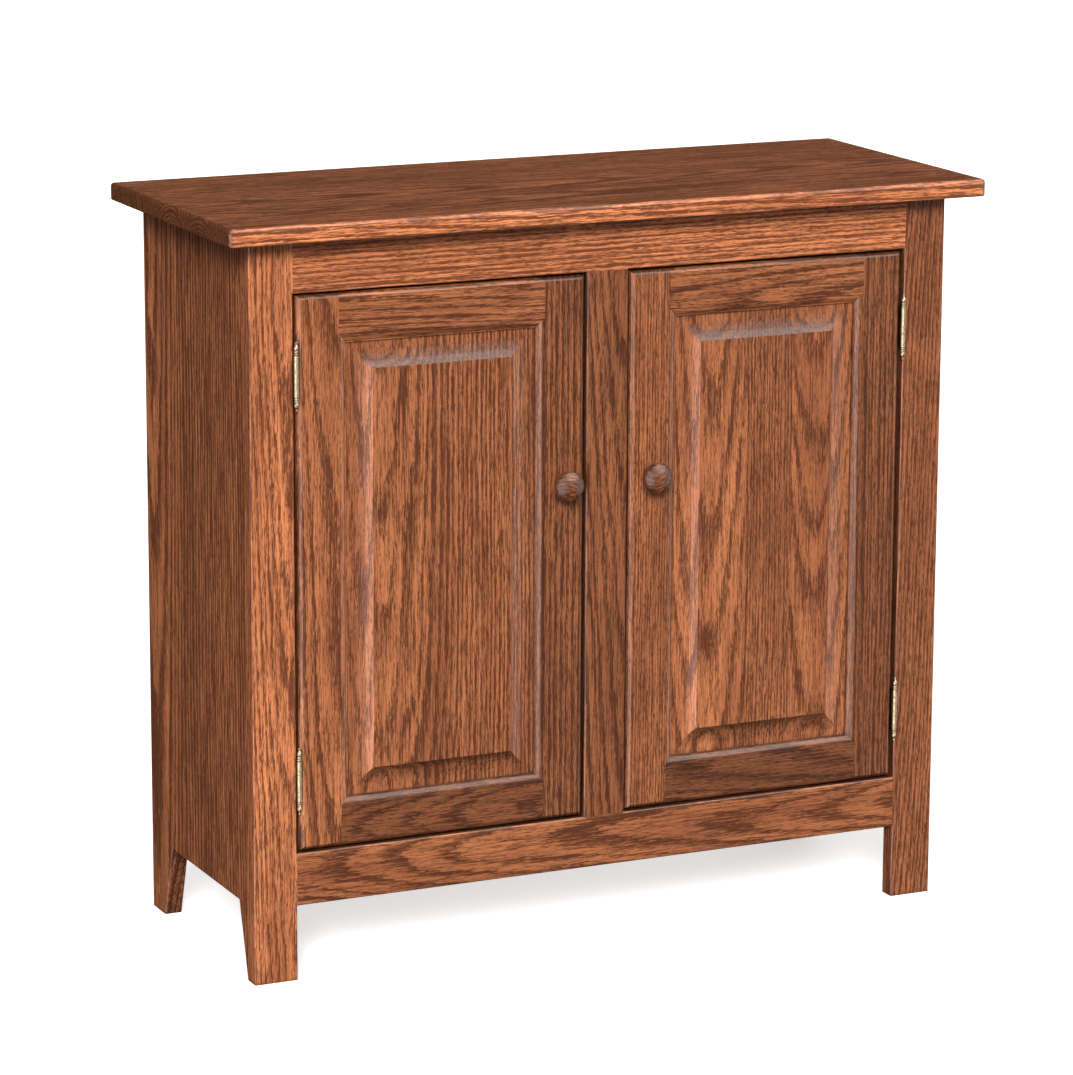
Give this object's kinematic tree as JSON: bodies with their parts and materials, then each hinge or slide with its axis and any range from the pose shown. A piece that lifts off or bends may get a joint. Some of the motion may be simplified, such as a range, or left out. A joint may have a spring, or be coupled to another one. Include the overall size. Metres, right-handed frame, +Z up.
{
  "type": "two-door wooden cabinet",
  "caption": "Low free-standing stained oak cabinet with a face frame, inset raised-panel doors on finial butt hinges, turned knobs, an overhanging top and tapered feet.",
  "frame": {"origin": "on the floor, under the middle of the top board", "axes": "+Z up, +X to the right along the front, -Y towards the person who opens the doors"},
  "size_m": [0.88, 0.355, 0.813],
  "materials": {
    "stained_oak": "reddish brown stained red oak under satin lacquer",
    "oak_plywood": "thin stained oak plywood, dull",
    "antique_brass": "antique brass, satin with dark recesses",
    "brass_screw": "brass plated screw",
    "steel": "zinc plated",
    "catch_plastic": "brown moulded plastic"
  },
  "bodies": {
    "carcass": {"back_nails": "steel", "back_panel": "oak_plywood", "back_top_rail": "stained_oak", "bottom_panel": "stained_oak", "catch_block": "stained_oak", "catch_housing_left": "catch_plastic", "catch_housing_right": "catch_plastic", "catch_magnet_left": "steel", "catch_magnet_right": "steel", "catch_screws": "steel", "cleat_screws": "steel", "frame_bottom_rail": "stained_oak", "frame_mullion": "stained_oak", "frame_stile_left": "stained_oak", "frame_stile_right": "stained_oak", "frame_top_rail": "stained_oak", "hinge_frame_screws": "brass_screw", "hinge_lower_frame_leaf_left": "antique_brass", "hinge_lower_frame_leaf_right": "antique_brass", "hinge_lower_pin_left": "antique_brass", "hinge_lower_pin_right": "antique_brass", "hinge_upper_frame_leaf_left": "antique_brass", "hinge_upper_frame_leaf_right": "antique_brass", "hinge_upper_pin_left": "antique_brass", "hinge_upper_pin_right": "antique_brass", "shelf_pins": "steel", "side_panel_left": "stained_oak", "side_panel_right": "stained_oak", "top_board": "stained_oak", "top_cleat_left": "stained_oak", "top_cleat_right": "stained_oak", "top_screws": "steel"},
    "door_left": {"door_bottom_rail_left": "stained_oak", "door_hinge_screws_left": "brass_screw", "door_hinge_stile_left": "stained_oak", "door_knob_left": "stained_oak", "door_knob_screw_left": "steel", "door_latch_stile_left": "stained_oak", "door_panel_left": "stained_oak", "door_strike_plate_left": "steel", "door_strike_screw_left": "steel", "door_top_rail_left": "stained_oak", "hinge_lower_door_leaf_left": "antique_brass", "hinge_upper_door_leaf_left": "antique_brass"},
    "door_right": {"door_bottom_rail_right": "stained_oak", "door_hinge_screws_right": "brass_screw", "door_hinge_stile_right": "stained_oak", "door_knob_right": "stained_oak", "door_knob_screw_right": "steel", "door_latch_stile_right": "stained_oak", "door_panel_right": "stained_oak", "door_strike_plate_right": "steel", "door_strike_screw_right": "steel", "door_top_rail_right": "stained_oak", "hinge_lower_door_leaf_right": "antique_brass", "hinge_upper_door_leaf_right": "antique_brass"},
    "shelf": {"shelf": "stained_oak"}
  },
  "joints": [
    {"name": "door_left_hinge", "type": "hinge", "parent": "carcass", "child": "door_left", "pos_m": [-0.357, -0.14835, 0.4375], "axis": [0, 0, -1], "range_deg": [0, 180]},
    {"name": "door_right_hinge", "type": "hinge", "parent": "carcass", "child": "door_right", "pos_m": [0.357, -0.14835, 0.4375], "axis": [0, 0, 1], "range_deg": [0, 180]},
    {"name": "shelf_lift", "type": "slide", "parent": "carcass", "child": "shelf", "axis": [0, 0, 1], "range_m": [0, 0.02]}
  ]
}
